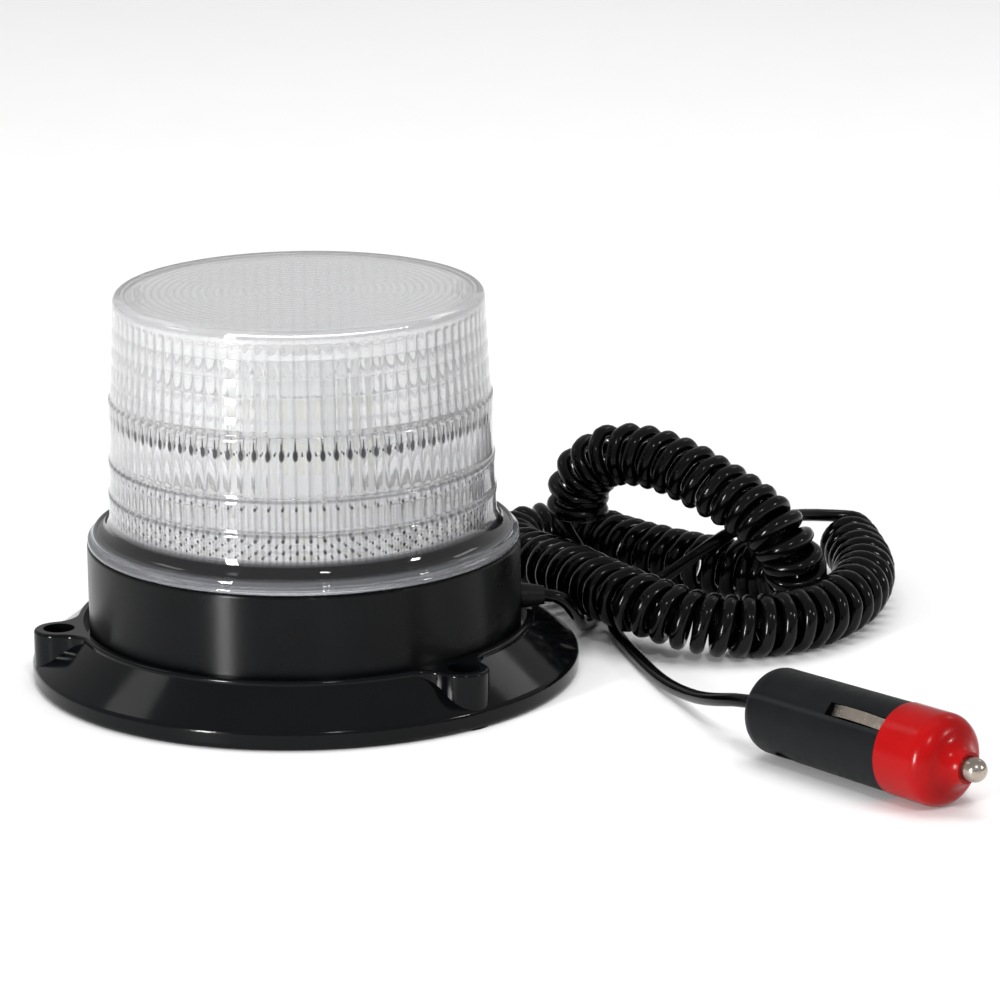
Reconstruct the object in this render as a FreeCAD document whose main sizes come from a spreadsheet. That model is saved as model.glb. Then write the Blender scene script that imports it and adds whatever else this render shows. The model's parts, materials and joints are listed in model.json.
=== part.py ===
import FreeCAD, Part
import math
import os
import Sketcher
from FreeCAD import Placement, Rotation, Vector

# An LED warning beacon: a black three-bolt base with a magnet under it, a clear
# ribbed lens that locks by a short turn, and a curly lead to a lighter plug.
# Millimetres, +Z up. The origin is the middle of the base's underside.

SIZES = {
    # base flange
    "flange_radius": 68.0,
    "rim_height": 4.6,
    "ring_radius": 57.0,
    "ring_height": 14.0,
    "seat_radius": 55.2,
    "seat_height": 11.0,
    "deck_underside": 8.0,
    "skirt_radius": 64.5,
    "hole_circle_radius": 61.5,
    "hole_radius": 3.9,
    "boss_radius": 6.2,
    "boss_flare": 7.0,
    "boss_turn": 67.6,
    # drum
    "drum_radius": 53.7,
    "drum_wall": 2.6,
    "drum_top": 33.9,
    "deck_thickness": 2.8,
    "deck_opening": 20.0,
    "spigot_radius": 44.2,
    "spigot_wall": 2.4,
    "spigot_top": 38.0,
    "lug_radius": 46.4,
    "lug_underside": 36.3,
    "lug_span": 26.0,
    "column_circle": 44.0,
    "column_radius": 3.6,
    "column_turn": 100.0,
    # lens
    "lens_bottom": 34.2,
    "lens_foot_radius": 53.5,
    "lens_bore": 46.7,
    "flute_end_radius": 48.4,
    "flute_end_height": 40.2,
    "ring_one_radius": 47.9,
    "ring_one_height": 47.1,
    "ring_two_radius": 47.8,
    "ring_two_height": 55.4,
    "ring_three_radius": 47.5,
    "ring_three_height": 70.6,
    "lens_top_radius": 45.6,
    "lens_height": 96.6,
    "lens_wall": 2.2,
    "tab_radius": 44.5,
    "tab_bottom": 34.5,
    "tab_top": 35.9,
    "gasket_inner": 50.1,
    "gasket_outer": 52.5,
    "gasket_bottom": 32.5,
    # parts inside
    "sink_radius": 41.2,
    "sink_height": 2.5,
    "board_radius": 39.5,
    "board_height": 1.6,
    "tower_flats": 26.0,
    "tower_height": 38.0,
    "magnet_radius": 38.4,
    "magnet_bore": 12.0,
    "cup_radius": 40.0,
    "cup_plate": 1.4,
    "pad_height": 1.6,
    "driver_length": 56.0,
    "driver_width": 40.0,
    "driver_underside": 16.0,
    # cord
    "gland_height": 17.3,
    "cable_radius": 1.65,
    "coil_radius": 8.3,
    # plug
    "plug_x": 107.6,
    "plug_y": -75.3,
    "plug_z": 11.1,
    "plug_yaw": -50.0,
    "plug_roll": -33.0,
    "shell_length": 44.3,
    "shell_rear_radius": 10.3,
    "shell_front_radius": 10.75,
    "shell_wall": 1.8,
    "nose_shoulder": 55.0,
    "nose_radius": 10.95,
    "nose_end": 64.0,
    "tip_radius": 2.85,
    "tip_centre": 65.8,
    "fuse_radius": 3.1,
    "contact_width": 2.8,
    "screw_at": 12.0,
}

doc = FreeCAD.newDocument("beacon")
sheet = doc.addObject("Spreadsheet::Sheet", "sizes")
sheet.Label = "sizes"
nodes = []


class Length:
    """A number kept with the spreadsheet expression that gives it."""

    def __init__(self, value, text):
        self.value = float(value)
        self.text = text

    def __add__(self, other):
        other = length(other)
        return Length(self.value + other.value, f"({self.text} + {other.text})")

    def __sub__(self, other):
        other = length(other)
        return Length(self.value - other.value, f"({self.text} - {other.text})")

    def __mul__(self, factor):
        return Length(self.value * factor, f"({self.text} * {factor})")

    def __rsub__(self, other):
        return length(other) - self

    def __radd__(self, other):
        return length(other) + self


def length(number):
    return number if isinstance(number, Length) else Length(number, f"({number})")


class Sizes:
    """The driving sizes by name, each tied to its cell."""


size = Sizes()
for row, (alias, number) in enumerate(SIZES.items(), start=1):
    sheet.set(f"A{row}", alias)
    sheet.set(f"B{row}", str(number))
    sheet.setAlias(f"B{row}", alias)
    setattr(size, alias, Length(number, f"sizes.{alias}"))
doc.recompute()


# ---------------------------------------------------------------- tools


def node(shape_object, label):
    """Names a finished sub-part, which is written to a file of its own."""
    shape_object.Label = label
    nodes.append(shape_object)
    return shape_object


def bind(thing, **properties):
    for name, amount in properties.items():
        amount = length(amount)
        setattr(thing, name, amount.value)
        thing.setExpression(name, amount.text)
    return thing


def body(label):
    return doc.addObject("PartDesign::Body", label)


def plane_of(owner, role):
    return next(plane for plane in owner.Origin.OriginFeatures if plane.Role == role)


def sketch_on(owner, role, height=0.0):
    drawing = owner.newObject("Sketcher::SketchObject", f"{owner.Name}_sketch")
    drawing.AttachmentSupport = (plane_of(owner, role), [""])
    drawing.MapMode = "FlatFace"
    if height:
        height = length(height)
        drawing.AttachmentOffset = Placement(Vector(0, 0, height.value), Rotation())
        drawing.setExpression("AttachmentOffset.Base.z", height.text)
    return drawing


def hold(drawing, kind, parts, amount):
    """A dimension that follows the sheet."""
    amount = length(amount)
    index = drawing.addConstraint(Sketcher.Constraint(kind, *parts, amount.value))
    drawing.setExpression(f"Constraints[{index}]", amount.text)


def place_point(drawing, curve, end, x, y):
    x, y = length(x), length(y)
    if abs(x.value) < 1e-9:
        drawing.addConstraint(Sketcher.Constraint("PointOnObject", curve, end, -2))
    else:
        hold(drawing, "DistanceX", (-1, 1, curve, end), x)
    if abs(y.value) < 1e-9:
        drawing.addConstraint(Sketcher.Constraint("PointOnObject", curve, end, -1))
    else:
        hold(drawing, "DistanceY", (-1, 1, curve, end), y)


def arc_between(start, end, radius, turn):
    """The shorter arc from start to end; turn is 1 anticlockwise and -1 clockwise."""
    chord = end - start
    middle = (start + end) * 0.5
    rise = math.sqrt(max(radius**2 - (chord.Length / 2) ** 2, 0.0))
    side = Vector(-chord.y, chord.x, 0).normalize() * turn
    centre = middle + side * rise
    first, last = (start, end) if turn > 0 else (end, start)
    from_angle = math.atan2(first.y - centre.y, first.x - centre.x)
    to_angle = math.atan2(last.y - centre.y, last.x - centre.x)
    if to_angle < from_angle:
        to_angle += 2 * math.pi
    return Part.ArcOfCircle(Part.Circle(centre, Vector(0, 0, 1), radius), from_angle, to_angle)


def outline(drawing, corners):
    """A closed outline. A corner is (x, y), or (x, y, radius, turn) where an arc leads to it."""
    spots = [Vector(length(c[0]).value, length(c[1]).value, 0) for c in corners]
    ends = []
    for index, corner in enumerate(corners):
        start, end = spots[index - 1], spots[index]
        if len(corner) == 4:
            radius, turn = length(corner[2]), corner[3]
            curve = drawing.addGeometry(arc_between(start, end, radius.value, turn))
            ends.append((curve, 1, 2) if turn > 0 else (curve, 2, 1))
        else:
            curve = drawing.addGeometry(Part.LineSegment(start, end))
            ends.append((curve, 1, 2))
    for index, (curve, begin, finish) in enumerate(ends):
        following = ends[(index + 1) % len(ends)]
        join = (curve, finish, following[0], following[1])
        drawing.addConstraint(Sketcher.Constraint("Coincident", *join))
    for (curve, begin, finish), corner in zip(ends, corners):
        place_point(drawing, curve, finish, corner[0], corner[1])
        if len(corner) == 4:
            hold(drawing, "Radius", (curve,), corner[2])
    return drawing


def ring_of(drawing, x, y, radius):
    x, y, radius = length(x), length(y), length(radius)
    circle = Part.Circle(Vector(x.value, y.value, 0), Vector(0, 0, 1), radius.value)
    curve = drawing.addGeometry(circle)
    hold(drawing, "Radius", (curve,), radius)
    place_point(drawing, curve, 3, x, y)
    return drawing


def turned(owner, drawing, axis="V_Axis", angle=360.0, cut=False, midplane=False):
    """A revolved feature, added or cut."""
    kind = "PartDesign::Groove" if cut else "PartDesign::Revolution"
    feature = owner.newObject(kind, f"{owner.Name}_turned")
    feature.Profile = drawing
    feature.ReferenceAxis = (drawing, [axis])
    bind(feature, Angle=angle)
    feature.Midplane = midplane
    doc.recompute()
    return feature


def padded(owner, drawing, height):
    feature = owner.newObject("PartDesign::Pad", f"{owner.Name}_pad")
    feature.Profile = drawing
    bind(feature, Length=height)
    doc.recompute()
    return feature


def pocket(owner, drawing, depth, both_ways=True):
    """A cut from the sketch to each side; it must take material away."""
    before = owner.Shape.Volume
    feature = owner.newObject("PartDesign::Pocket", f"{owner.Name}_pocket")
    feature.Profile = drawing
    bind(feature, Length=depth)
    feature.Midplane = both_ways
    doc.recompute()
    if owner.Shape.Volume > before - 1e-3:
        feature.Reversed = True
        doc.recompute()
    assert owner.Shape.Volume < before - 1e-3, f"{owner.Label}: the pocket cuts nothing"
    return feature


def around(owner, features, count):
    pattern = owner.newObject("PartDesign::PolarPattern", f"{owner.Name}_pattern")
    pattern.Originals = features
    pattern.Axis = (plane_axis(owner, "Z_Axis"), [""])
    pattern.Angle = 360.0
    pattern.Occurrences = count
    owner.Tip = pattern
    doc.recompute()
    return pattern


def plane_axis(owner, role):
    return next(line for line in owner.Origin.OriginFeatures if line.Role == role)


def softened(owner, base, radius, wanted):
    """Rounds the round edges that wanted(radius, height) picks."""
    names = []
    for index, edge in enumerate(base.Shape.Edges, start=1):
        if isinstance(edge.Curve, Part.Circle) and wanted(edge.Curve.Radius, edge.Curve.Center.z):
            names.append(f"Edge{index}")
    fillet = owner.newObject("PartDesign::Fillet", f"{owner.Name}_round")
    fillet.Base = (base, names)
    bind(fillet, Radius=radius)
    doc.recompute()
    return fillet


def revolved(label, corners, plane="XZ_Plane", axis="V_Axis", angle=360.0, placement=None):
    owner = body(label)
    turned(owner, outline(sketch_on(owner, plane), corners), axis, angle)
    if placement:
        owner.Placement = placement
    return owner


def at(x, y, z, rotation=None):
    return Placement(Vector(*(length(v).value for v in (x, y, z))), rotation or Rotation())


def polar(radius, degrees, z, turn=0.0):
    angle = math.radians(degrees)
    radius = length(radius).value
    spot = Vector(radius * math.cos(angle), radius * math.sin(angle), length(z).value)
    return Placement(spot, Rotation(Vector(0, 0, 1), turn))


def cylinder(name, radius, height, placement=None):
    solid = bind(doc.addObject("Part::Cylinder", name), Radius=radius, Height=height)
    solid.Placement = placement or Placement()
    return solid


def box(name, long, wide, high, placement=None):
    """A block centred on its placement in X and Y, rising from it."""
    solid = bind(doc.addObject("Part::Box", name), Length=long, Width=wide, Height=high)
    middle = Vector(-length(long).value / 2, -length(wide).value / 2, 0)
    solid.Placement = (placement or Placement()).multiply(Placement(middle, Rotation()))
    return solid


def cut(name, base, *tools):
    for count, tool in enumerate(tools):
        result = doc.addObject("Part::Cut", f"{name}_{count}")
        result.Base, result.Tool = base, tool
        base = result
    return base


def fused(name, *solids):
    result = doc.addObject("Part::MultiFuse", name)
    result.Shapes = list(solids)
    return result


def group(name, *solids):
    result = doc.addObject("Part::Compound", name)
    result.Links = list(solids)
    return result


def copies(name, original, placements):
    """One sub-part made of equal separate solids."""
    links = []
    for placement in placements:
        link = doc.addObject("App::Link", f"{name}_copy")
        link.LinkedObject = original
        link.LinkTransform = False
        link.Placement = placement
        links.append(link)
    return group(name, *links)


def screw(name, head_radius, head_height, shank_radius, shank_length):
    """A pan-head cross-recess screw, head up, with its seat at the origin."""
    owner = revolved(name, [
        (0, head_height),
        (0, length(0) - shank_length),
        (shank_radius, length(0) - shank_length),
        (shank_radius, 0),
        (head_radius, 0),
        (head_radius, head_height * 0.55),
        (head_radius * 0.6, head_height, head_radius * 0.62, 1),
    ])
    slot = outline(sketch_on(owner, "XY_Plane", head_height), [
        (head_radius * 0.55, head_radius * 0.13),
        (-head_radius * 0.55, head_radius * 0.13),
        (-head_radius * 0.55, -head_radius * 0.13),
        (head_radius * 0.55, -head_radius * 0.13),
    ])
    around(owner, [pocket(owner, slot, head_height * 1.0)], 4)
    return owner


# ---------------------------------------------------------------- base


def flange_base():
    """The dished flange with three bolt bosses, and the seat that the drum stands on."""
    s = size
    owner = body("flange_base")
    profile = outline(sketch_on(owner, "XZ_Plane"), [
        (2.7, s.seat_height),
        (2.7, s.deck_underside),
        (52.5, s.deck_underside),
        (s.skirt_radius - 1.5, 2.4),
        (s.skirt_radius, 0),
        (s.flange_radius, 0),
        (s.flange_radius, s.rim_height),
        (s.ring_radius, s.ring_height - 1.2),
        (s.ring_radius, s.ring_height),
        (s.seat_radius, s.ring_height),
        (s.seat_radius, s.seat_height),
    ])
    dish = turned(owner, profile)
    softened(owner, dish, 1.5, lambda r, z: r > s.flange_radius.value - 0.1)
    # a boss is a round end on the bolt circle, flared into the ring on both sides
    ring = s.ring_radius.value
    boss = s.boss_radius.value
    flare = s.boss_flare.value
    bolt = s.hole_circle_radius.value
    centre_x = ((ring + flare) ** 2 - (boss + flare) ** 2 + bolt**2) / (2 * bolt)
    centre_y = math.sqrt((ring + flare) ** 2 - centre_x**2)
    neck_x = bolt + (centre_x - bolt) * boss / (boss + flare)
    neck_y = centre_y * boss / (boss + flare)
    root_x = centre_x * ring / (ring + flare)
    root_y = centre_y * ring / (ring + flare)
    shape = outline(sketch_on(owner, "XY_Plane"), [
        (root_x, -root_y),
        (neck_x, -neck_y, s.boss_flare, -1),
        (s.hole_circle_radius + s.boss_radius, 0, s.boss_radius, 1),
        (neck_x, neck_y, s.boss_radius, 1),
        (root_x, root_y, s.boss_flare, -1),
    ])
    bosses = around(owner, [padded(owner, shape, s.ring_height)], 3)
    softened_bosses(owner, bosses)
    hole = ring_of(sketch_on(owner, "XY_Plane"), s.hole_circle_radius, 0, s.hole_radius)
    around(owner, [pocket(owner, hole, 60)], 3)
    clearance = column_circle_hole(owner, 0.0, s.boss_turn.value, 1.9)
    around(owner, [pocket(owner, clearance, 60)], 3)
    owner.Placement = at(0, 0, 0, Rotation(Vector(0, 0, 1), s.boss_turn.value))
    return node(owner, "flange_base")


def column_circle_hole(owner, height, owner_turn, radius):
    """A circle over the first housing screw, drawn in a body that is turned by owner_turn."""
    angle = math.radians(size.column_turn.value - owner_turn)
    drawing = sketch_on(owner, "XY_Plane", height)
    across, deep = size.column_circle * math.cos(angle), size.column_circle * math.sin(angle)
    return ring_of(drawing, across, deep, radius)


def softened_bosses(owner, base):
    """Rounds the upper outer edge of the ring and of the bosses that flow out of it."""
    names = []
    for index, edge in enumerate(base.Shape.Edges, start=1):
        box_of = edge.BoundBox
        flat = abs(box_of.ZMax - size.ring_height.value) < 1e-6 and box_of.ZLength < 1e-6
        middle = edge.valueAt((edge.FirstParameter + edge.LastParameter) / 2)
        if flat and math.hypot(middle.x, middle.y) > size.ring_radius.value - 0.1:
            names.append(f"Edge{index}")
    fillet = owner.newObject("PartDesign::Fillet", f"{owner.Name}_boss_round")
    fillet.Base = (base, names)
    bind(fillet, Radius=0.8)
    doc.recompute()
    return fillet


def drum_housing():
    """The upright drum: a wall, a deck with a groove for the gasket, and the lens's bayonet."""
    s = size
    owner = body("drum_housing")
    inner = s.drum_radius - s.drum_wall
    profile = outline(sketch_on(owner, "XZ_Plane"), [
        (s.drum_radius, s.seat_height),
        (s.drum_radius, s.drum_top),
        (s.gasket_outer + 0.1, s.drum_top),
        (s.gasket_outer + 0.1, s.gasket_bottom),
        (s.gasket_inner - 0.1, s.gasket_bottom),
        (s.gasket_inner - 0.1, s.drum_top),
        (s.spigot_radius, s.drum_top),
        (s.spigot_radius, s.spigot_top),
        (s.spigot_radius - s.spigot_wall, s.spigot_top),
        (s.spigot_radius - s.spigot_wall, s.drum_top),
        (s.deck_opening, s.drum_top),
        (s.deck_opening, s.drum_top - s.deck_thickness),
        (inner, s.drum_top - s.deck_thickness),
        (inner, s.seat_height),
    ])
    shell = turned(owner, profile)
    softened(owner, shell, 0.6, lambda r, z: r > s.drum_radius.value - 0.01)
    lug = outline(sketch_on(owner, "XZ_Plane"), [
        (s.spigot_radius - 1, s.lug_underside),
        (s.lug_radius, s.lug_underside),
        (s.lug_radius, s.spigot_top),
        (s.spigot_radius - 1, s.spigot_top),
    ])
    around(owner, [turned(owner, lug, angle=s.lug_span, midplane=True)], 3)
    column = column_circle_hole(owner, s.seat_height, 0.0, s.column_radius)
    around(owner, [padded(owner, column, s.drum_top - s.seat_height - 1)], 3)
    pilot = column_circle_hole(owner, s.seat_height, 0.0, 1.5)
    around(owner, [pocket(owner, pilot, 28)], 3)
    board_pilot = ring_of(sketch_on(owner, "XY_Plane", s.drum_top), 0, 28, 1.5)
    around(owner, [pocket(owner, board_pilot, 12)], 3)
    entry = ring_of(sketch_on(owner, "YZ_Plane", 52), 0, s.gland_height, 3.0)
    pocket(owner, entry, 10)
    return node(owner, "drum_housing")


def housing_screws():
    """Three screws up through the flange into the drum's columns."""
    one = screw("housing_screw", 3.1, 1.9, 1.4, 12)
    upside_down = Rotation(Vector(1, 0, 0), 180)
    places = []
    for third in range(3):
        degrees = size.column_turn.value + 120 * third
        spot = polar(size.column_circle, degrees, size.deck_underside).Base
        places.append(Placement(spot, upside_down))
    node(copies("housing_screws", one, places), "housing_screws")


def magnet_parts():
    """The ring magnet in its steel cup, its rubber pad, and the bolt that holds them."""
    s = size
    cup_top = s.deck_underside
    node(revolved("magnet_cup", [
        (2.7, cup_top),
        (2.7, cup_top - s.cup_plate),
        (s.cup_radius - 1.3, cup_top - s.cup_plate),
        (s.cup_radius - 1.3, s.pad_height),
        (s.cup_radius, s.pad_height),
        (s.cup_radius, cup_top),
    ]), "magnet_cup")
    node(revolved("magnet_ring", [
        (s.magnet_bore, s.pad_height),
        (s.magnet_radius, s.pad_height),
        (s.magnet_radius, cup_top - s.cup_plate),
        (s.magnet_bore, cup_top - s.cup_plate),
    ]), "magnet_ring")
    node(revolved("rubber_pad", [
        (6.5, 0),
        (s.cup_radius + 0.8, 0),
        (s.cup_radius + 0.8, s.pad_height),
        (6.5, s.pad_height),
    ]), "rubber_pad")
    bolt = screw("magnet_screw", 5, 2.6, 2.5, 9)
    bolt.Placement = at(0, 0, cup_top - s.cup_plate, Rotation(Vector(1, 0, 0), 180))
    node(bolt, "magnet_screw")
    owner = body("magnet_nut")
    drawing = sketch_on(owner, "XY_Plane")
    corner = 4.6
    hexagon = [
        (corner * math.cos(math.radians(60 * i)), corner * math.sin(math.radians(60 * i)))
        for i in range(6)
    ]
    outline(drawing, hexagon)
    padded(owner, drawing, 3.6)
    pocket(owner, ring_of(sketch_on(owner, "XY_Plane"), 0, 0, 2.55), 20)
    owner.Placement = at(0, 0, s.seat_height)
    node(owner, "magnet_nut")


# ---------------------------------------------------------------- lens


def lens():
    """The clear cover: tiers that step in upwards, a flat top, a foot, and bayonet tabs."""
    s = size
    inner = s.lens_wall
    tiers = [
        (s.flute_end_radius - 0.45, s.flute_end_height + 0.5),
        (s.ring_one_radius + 0.2, s.ring_one_height),
        (s.ring_one_radius - 0.45, s.ring_one_height + 0.5),
        (s.ring_two_radius + 0.1, s.ring_two_height),
        (s.ring_two_radius - 0.6, s.ring_two_height + 0.5),
        (s.ring_three_radius + 0.1, s.ring_three_height),
        (s.ring_three_radius - 0.6, s.ring_three_height + 0.5),
        (s.lens_top_radius, s.lens_height - 1.8),
        (s.lens_top_radius - 1.8, s.lens_height, 1.8, 1),
    ]
    corners = [
        (0, s.lens_height),
        (0, s.lens_height - inner),
        (s.lens_top_radius - inner - 1, s.lens_height - inner),
        (s.lens_top_radius - inner, s.lens_height - inner - 1, 1, -1),
        (s.flute_end_radius - inner - 0.3, s.flute_end_height + 1.6),
        (s.lens_bore, s.spigot_top + 0.4),
        (s.lens_bore, s.lens_bottom),
        (s.lens_foot_radius, s.lens_bottom),
        (s.lens_foot_radius, s.lens_bottom + 1.1),
        (s.lens_foot_radius - 1.6, s.lens_bottom + 1.5),
        (s.lens_foot_radius - 1.6, s.lens_bottom + 2.6),
        (s.flute_end_radius, s.flute_end_height, 4.2, -1),
    ]
    owner = body("lens")
    turned(owner, outline(sketch_on(owner, "XZ_Plane"), corners + tiers))
    tab = outline(sketch_on(owner, "XZ_Plane"), [
        (s.tab_radius, s.tab_bottom),
        (s.lens_bore + 1, s.tab_bottom),
        (s.lens_bore + 1, s.tab_top),
        (s.tab_radius, s.tab_top),
    ])
    around(owner, [turned(owner, tab, angle=s.lug_span, midplane=True)], 3)
    node(owner, "lens")
    node(revolved("lens_gasket", [
        (s.gasket_inner, s.gasket_bottom),
        (s.gasket_outer, s.gasket_bottom),
        (s.gasket_outer, s.drum_top + 0.1),
        (s.gasket_inner, s.drum_top + 0.1),
    ]), "lens_gasket")


# ---------------------------------------------------------------- lamp


def lamp():
    """The heat sink, the round board, the six-sided tower and their LEDs."""
    s = size
    hole_places = [polar(28, 90 + 120 * i, s.drum_top - 1) for i in range(3)]
    sink = cylinder("sink_disc", s.sink_radius, s.sink_height, at(0, 0, s.drum_top))
    drills = [cylinder("sink_drill", 1.6, 8, place) for place in hole_places]
    node(cut("sink", sink, *drills), "heat_sink")
    board_top = s.drum_top + s.sink_height + s.board_height
    board = cylinder("board_disc", s.board_radius, s.board_height, at(0, 0, board_top - s.board_height))
    drills = [cylinder("board_drill", 1.6, 12, place) for place in hole_places]
    node(cut("board", board, *drills), "led_board")
    chips = []
    for i in range(18):
        degrees = 20 * i + 10
        chips.append(box("chip", 5, 5, 1.4, polar(35, degrees, board_top, degrees)))
    node(group("chips", *chips), "board_leds")
    one = screw("board_screw", 2.9, 1.8, 1.35, 6.4)
    node(copies("board_screws", one, [
        polar(28, 90 + 120 * i, board_top) for i in range(3)
    ]), "board_screws")

    half = s.tower_flats * 0.5
    tower = body("tower_core")
    drawing = sketch_on(tower, "XY_Plane")
    corner = half * (1 / math.cos(math.radians(30)))
    outline(drawing, [
        (corner * math.cos(math.radians(60 * i)), corner * math.sin(math.radians(60 * i)))
        for i in range(6)
    ])
    padded(tower, drawing, s.tower_height)
    pocket(tower, ring_of(sketch_on(tower, "XY_Plane", s.tower_height), 0, 0, 1.5), 24)
    tower.Placement = at(0, 0, board_top)
    node(tower, "tower_core")
    boards, leds = [], []
    for i in range(6):
        degrees = 60 * i + 30
        face = polar(half + 0.6, degrees, board_top + 1, degrees)
        boards.append(box("tower_board", 1.2, 13.4, s.tower_height - 2, face))
        for level in range(3):
            spot = polar(half + 1.9, degrees, board_top + 4.5 + 12 * level, degrees)
            leds.append(box("tower_led", 1.4, 5, 5, spot))
    node(group("tower_boards", *boards), "tower_boards")
    node(group("tower_leds", *leds), "tower_leds")
    cap = revolved("tower_cap", [
        (1.6, 0),
        (14.5, 0),
        (14.5, 1.4),
        (13.3, 2.6, 1.2, 1),
        (1.6, 2.6),
    ], placement=at(0, 0, board_top + s.tower_height))
    node(cap, "tower_cap")
    top_screw = screw("tower_screw", 2.9, 1.8, 1.35, 12)
    top_screw.Placement = at(0, 0, board_top + s.tower_height + 2.6)
    node(top_screw, "tower_screw")


def driver():
    """The flasher board in the drum with its standoffs, screws and largest parts."""
    s = size
    thickness = 1.6
    spots = [(sx * 22, sy * 14) for sx in (1, -1) for sy in (1, -1)]
    standoffs = []
    for x, y in spots:
        post = cylinder("standoff_post", 2.6, s.driver_underside - s.seat_height, at(x, y, s.seat_height))
        bore = cylinder("standoff_bore", 1.3, 8, at(x, y, s.seat_height - 1))
        standoffs.append(cut("standoff", post, bore))
    node(group("standoffs", *standoffs), "board_standoffs")
    board = box("driver_slab", s.driver_length, s.driver_width, thickness, at(0, 0, s.driver_underside))
    drills = [cylinder("driver_drill", 1.4, 4, at(x, y, s.driver_underside - 1)) for x, y in spots]
    node(cut("driver", board, *drills), "driver_board")
    top = s.driver_underside + thickness
    one = screw("driver_screw", 2.5, 1.6, 1.2, 5.8)
    node(copies("driver_screws", one, [at(x, y, top) for x, y in spots]), "driver_screws")
    can = revolved("capacitor", [
        (0, 0),
        (5, 0),
        (5, 1.2),
        (4.6, 1.6),
        (5, 2.0),
        (5, 11),
        (4.6, 11.4),
        (0, 11.4),
    ], placement=at(10, 9, top))
    node(can, "capacitor")
    coil = bind(doc.addObject("Part::Torus", "inductor_ring"), Radius1=6.2, Radius2=2.9)
    coil.Placement = at(-11, 7, top + 2.9)
    node(coil, "inductor")
    tab = box("regulator_tab", 10, 1.4, 15, at(-8, -12, top))
    block = box("regulator_block", 10, 3.2, 9, at(-8, -14.3, top))
    node(fused("regulator_pair", tab, block), "regulator")
    node(box("terminal", 8, 10.5, 9, at(22, 0, top)), "terminal_block")
    leads = [cylinder("led_wire", 0.9, s.drum_top - top, at(x, -16, top)) for x in (3, 7)]
    node(group("led_wire_pair", *leads), "led_wires")


# ---------------------------------------------------------------- cord


def along(points, radius, label, placement=None):
    """A round tube along straight runs joined by arcs as large as the runs allow."""
    spots = [Vector(*point) for point in points]
    edges = []
    start = spots[0]
    radii = []
    for before, corner, after in zip(spots, spots[1:], spots[2:]):
        back, ahead = (before - corner), (after - corner)
        reach = 0.45 * min(back.Length, ahead.Length)
        back.normalize()
        ahead.normalize()
        half_turn = (math.pi - back.getAngle(ahead)) / 2
        radii.append(round(reach / math.tan(half_turn), 1))
        arc_start = corner + back * reach
        arc_end = corner + ahead * reach
        towards = (back + ahead).normalize()
        bend = reach / math.tan(half_turn)
        middle = corner + towards * (bend / math.cos(half_turn) - bend)
        edges.append(Part.LineSegment(start, arc_start).toShape())
        edges.append(Part.Arc(arc_start, middle, arc_end).toShape())
        start = arc_end
    edges.append(Part.LineSegment(start, spots[-1]).toShape())
    path = Part.Wire(edges)
    section = Part.Circle(spots[0], spots[1] - spots[0], radius).toShape()
    solid = path.makePipeShell([Part.Wire([section])], True, False)
    expected = math.pi * radius**2 * path.Length
    print(f"{label}: length {path.Length:.1f}, radii {radii}, volume ratio {solid.Volume / expected:.4f}")
    tube = doc.addObject("Part::Feature", label)
    tube.Shape = solid
    tube.Placement = placement or Placement()
    return tube


CORD_LEAD = [
    (59.5, 0, 17.3), (62.6, 0, 17.3), (66, 3.5, 13.6), (68.6, 10.5, 8), (70, 18, 3.8),
    (71.5, 25.5, 1.8), (75, 34, 1.8), (80.5, 41.5, 1.9), (88, 45.5, 4.5), (95.5, 45.5, 9.5),
    (102, 44, 14.5), (108.5, 44.5, 19), (115.5, 49.5, 20.4), (122, 56.5, 19.8),
    (128.5, 64, 18.6), (135, 71, 16.6), (141, 75, 15),
]
CORD_COIL = [
    (144, 76, 8.3), (145.5, 61, 8.3), (145.5, 45, 8.3), (142, 28.5, 8.3), (135, 13.5, 8.3),
    (123, 1.5, 8.3), (108, -3, 8.3), (94, 0, 10), (83, 7.5, 12.7), (75.5, 19, 12.8),
    (69.5, 33, 12.5), (64.5, 48, 10.5), (59, 62, 8.6), (54, 75, 8.3), (58.5, 87, 8.3),
    (70, 90.5, 8.3), (79.5, 82.5, 8.3), (87, 70, 8.3), (98, 60.5, 8.3), (108, 52.2, 8.3),
    (121.8, 45.7, 8.3), (126.2, 37.5, 8.3), (126, 30.7, 11.7), (124.3, 27.5, 18.2),
    (120.8, 28, 23.9), (114.8, 32.4, 28.9), (106.4, 38.8, 33), (97.6, 45.8, 37),
    (88.4, 52.4, 39), (79.4, 58, 38), (73, 61.6, 31.8), (71.4, 62.8, 25.2), (72.2, 63.3, 19.6),
]
CORD_TAIL = [
    (72.2, 63.3, 19.6), (72.5, 62.5, 14.8), (73.8, 58.5, 9.7), (75.7, 52, 6.8),
    (77, 44.5, 6.3), (77.9, 36, 5.6), (78.1, 27, 3), (78.5, 17.5, 1.8), (80.2, 6, 1.8),
    (82.9, -6.5, 1.8), (85.5, -19, 1.8), (88.6, -31, 2.4), (92.2, -42.5, 3.8),
    (95.2, -53.5, 6.2), (98.8, -63.2, 9), (103.1, -69.94, 11.1), (107.6, -75.3, 11.1),
]


def cable_gland():
    """The rubber sleeve in the drum's wall, tapered where the lead leaves it."""
    s = size
    node(revolved("cable_gland", [
        (48.9, 0),
        (48.9, 4),
        (50.6, 4),
        (50.6, 2.85),
        (53.85, 2.85),
        (53.85, 3.15),
        (55.2, 3.05),
        (59.5, 2.3),
        (59.5, 0),
    ], plane="XY_Plane", axis="H_Axis", placement=at(0, 0, s.gland_height)), "cable_gland")


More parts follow.
